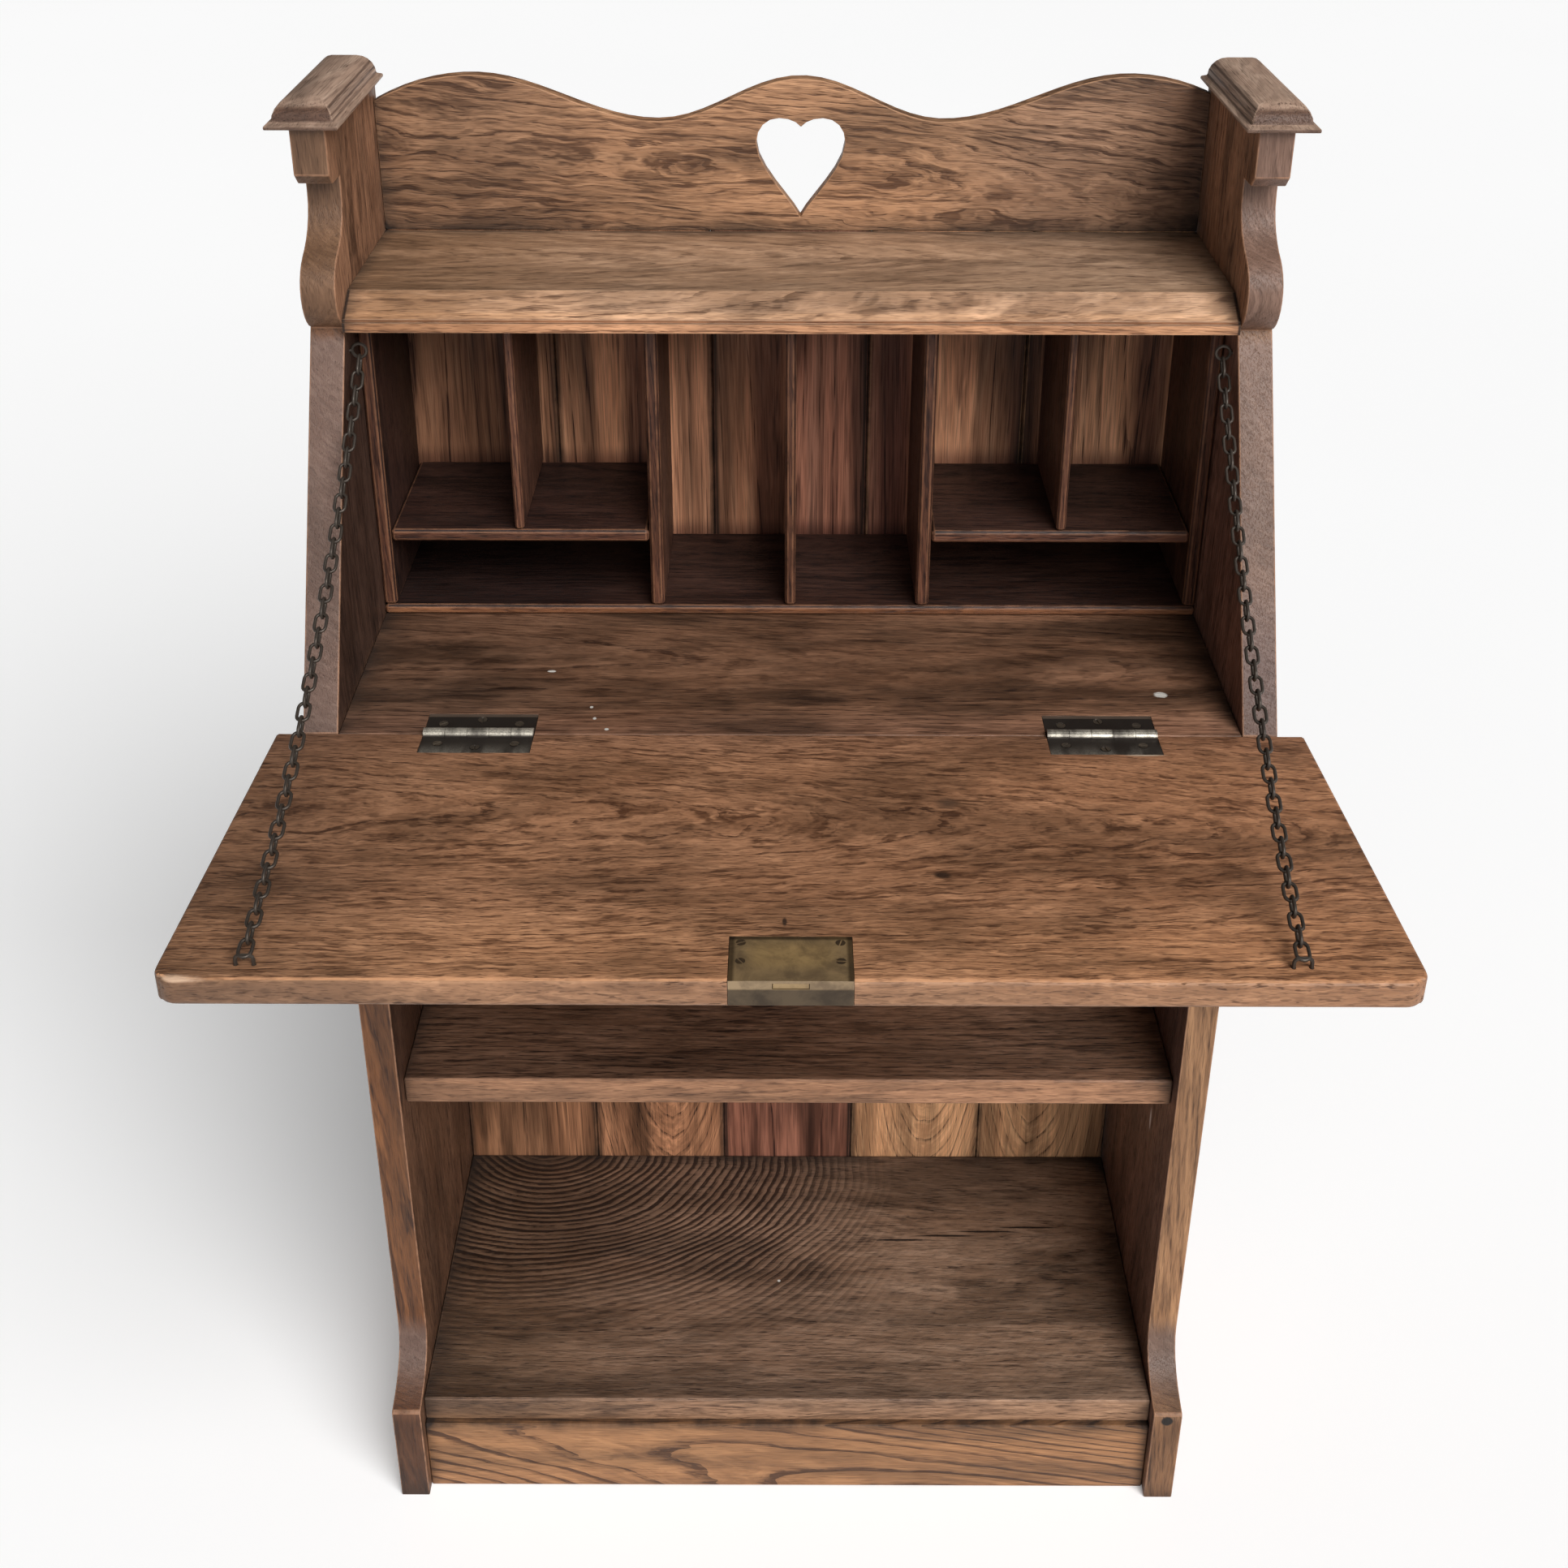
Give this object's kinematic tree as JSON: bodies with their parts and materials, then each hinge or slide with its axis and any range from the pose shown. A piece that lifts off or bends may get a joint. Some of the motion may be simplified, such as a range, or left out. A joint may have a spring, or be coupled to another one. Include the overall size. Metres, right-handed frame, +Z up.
{
  "type": "writing bureau",
  "caption": "Oak writing bureau with shaped plank sides, a fall held open by chains, open pigeonholes, a wavy gallery with a heart cut-out, and open shelves below.",
  "frame": {"origin": "on the floor, under the middle of the whole object with the fall open", "axes": "+X to the right, +Y to the back, +Z up"},
  "size_m": [0.7, 0.5709, 1.1774],
  "materials": {
    "oak_side": "worn dark oak, greyed on the front edges",
    "oak_board": "waxed dark oak",
    "oak_back": "stained oak boards",
    "oak_pigeonhole": "dark stained thin oak",
    "hinge_bronze": "dark oxidised brass",
    "pin_brass": "rubbed brass",
    "screw_bronze": "dark oxidised brass",
    "lock_brass": "dull aged brass",
    "lock_iron": "dark iron",
    "chain_iron": "dark iron wire",
    "fitting_bronze": "dark oxidised brass"
  },
  "bodies": {
    "carcass": {"side_left": "oak_side", "side_right": "oak_side", "cap_left": "oak_board", "cap_right": "oak_board", "top_shelf": "oak_board", "gallery_back": "oak_board", "writing_bed": "oak_board", "lower_shelf": "oak_board", "base_board": "oak_board", "plinth_board": "oak_board", "back_board_1": "oak_back", "back_board_2": "oak_back", "back_board_3": "oak_back", "back_board_4": "oak_back", "back_board_5": "oak_back", "pigeonhole_base": "oak_pigeonhole", "pigeonhole_end_left": "oak_pigeonhole", "pigeonhole_end_right": "oak_pigeonhole", "pigeonhole_divider_left": "oak_pigeonhole", "pigeonhole_divider_centre": "oak_pigeonhole", "pigeonhole_divider_right": "oak_pigeonhole", "pigeonhole_shelf_left": "oak_pigeonhole", "pigeonhole_shelf_right": "oak_pigeonhole", "pigeonhole_upright_left": "oak_pigeonhole", "pigeonhole_upright_right": "oak_pigeonhole", "hinge_left_bed_leaf": "hinge_bronze", "hinge_right_bed_leaf": "hinge_bronze", "hinge_left_pin": "pin_brass", "hinge_right_pin": "pin_brass", "hinge_left_bed_screw_1": "screw_bronze", "hinge_left_bed_screw_2": "screw_bronze", "hinge_left_bed_screw_3": "screw_bronze", "hinge_right_bed_screw_1": "screw_bronze", "hinge_right_bed_screw_2": "screw_bronze", "hinge_right_bed_screw_3": "screw_bronze", "lock_strike": "lock_brass", "chain_left_eye": "fitting_bronze", "chain_right_eye": "fitting_bronze"},
    "fall": {"fall_board": "oak_board", "hinge_left_fall_leaf": "hinge_bronze", "hinge_right_fall_leaf": "hinge_bronze", "hinge_left_fall_screw_1": "screw_bronze", "hinge_left_fall_screw_2": "screw_bronze", "hinge_left_fall_screw_3": "screw_bronze", "hinge_right_fall_screw_1": "screw_bronze", "hinge_right_fall_screw_2": "screw_bronze", "hinge_right_fall_screw_3": "screw_bronze", "lock_plate": "lock_brass", "lock_case": "lock_iron", "lock_spring": "lock_iron", "keyhole_escutcheon": "lock_brass", "chain_left_staple": "fitting_bronze", "chain_right_staple": "fitting_bronze", "chain_left_lower": "chain_iron", "chain_right_lower": "chain_iron"},
    "bolt": {"lock_bolt": "lock_brass"},
    "chain_left_upper_run": {"chain_left_upper": "chain_iron"},
    "chain_left_bight_run": {"chain_left_bight": "chain_iron"},
    "chain_right_upper_run": {"chain_right_upper": "chain_iron"},
    "chain_right_bight_run": {"chain_right_bight": "chain_iron"}
  },
  "joints": [
    {"name": "fall_hinge", "type": "hinge", "parent": "carcass", "child": "fall", "pos_m": [0, -0.01359, 0.779], "axis": [-1, 0, 0], "range_deg": [0, 115]},
    {"name": "bolt_slide", "type": "slide", "parent": "fall", "child": "bolt", "axis": [0, -0.9976, 0.0698], "range_m": [0, 0.008]},
    {"name": "chain_left_eye_turn", "type": "hinge", "parent": "carcass", "child": "chain_left_upper_run", "pos_m": [-0.3013, 0.1284, 0.99802], "axis": [-1, 0, 0], "range_deg": [-61.3, 0]},
    {"name": "chain_left_bend", "type": "hinge", "parent": "chain_left_upper_run", "child": "chain_left_bight_run", "pos_m": [-0.30118, -0.03805, 0.88874], "axis": [-1, 0, 0], "range_deg": [0, 93.5]},
    {"name": "chain_right_eye_turn", "type": "hinge", "parent": "carcass", "child": "chain_right_upper_run", "pos_m": [0.3013, 0.1284, 0.99802], "axis": [-1, 0, 0], "range_deg": [-61.3, 0]},
    {"name": "chain_right_bend", "type": "hinge", "parent": "chain_right_upper_run", "child": "chain_right_bight_run", "pos_m": [0.29325, -0.03807, 0.88872], "axis": [-1, 0, 0], "range_deg": [0, 93.5]}
  ],
  "couplings": [
    {"joint": "chain_left_eye_turn", "follows": "fall_hinge", "ratio": -0.5317},
    {"joint": "chain_left_bend", "follows": "fall_hinge", "ratio": 0.81123},
    {"joint": "chain_right_eye_turn", "follows": "fall_hinge", "ratio": -0.53169},
    {"joint": "chain_right_bend", "follows": "fall_hinge", "ratio": 0.81167}
  ]
}
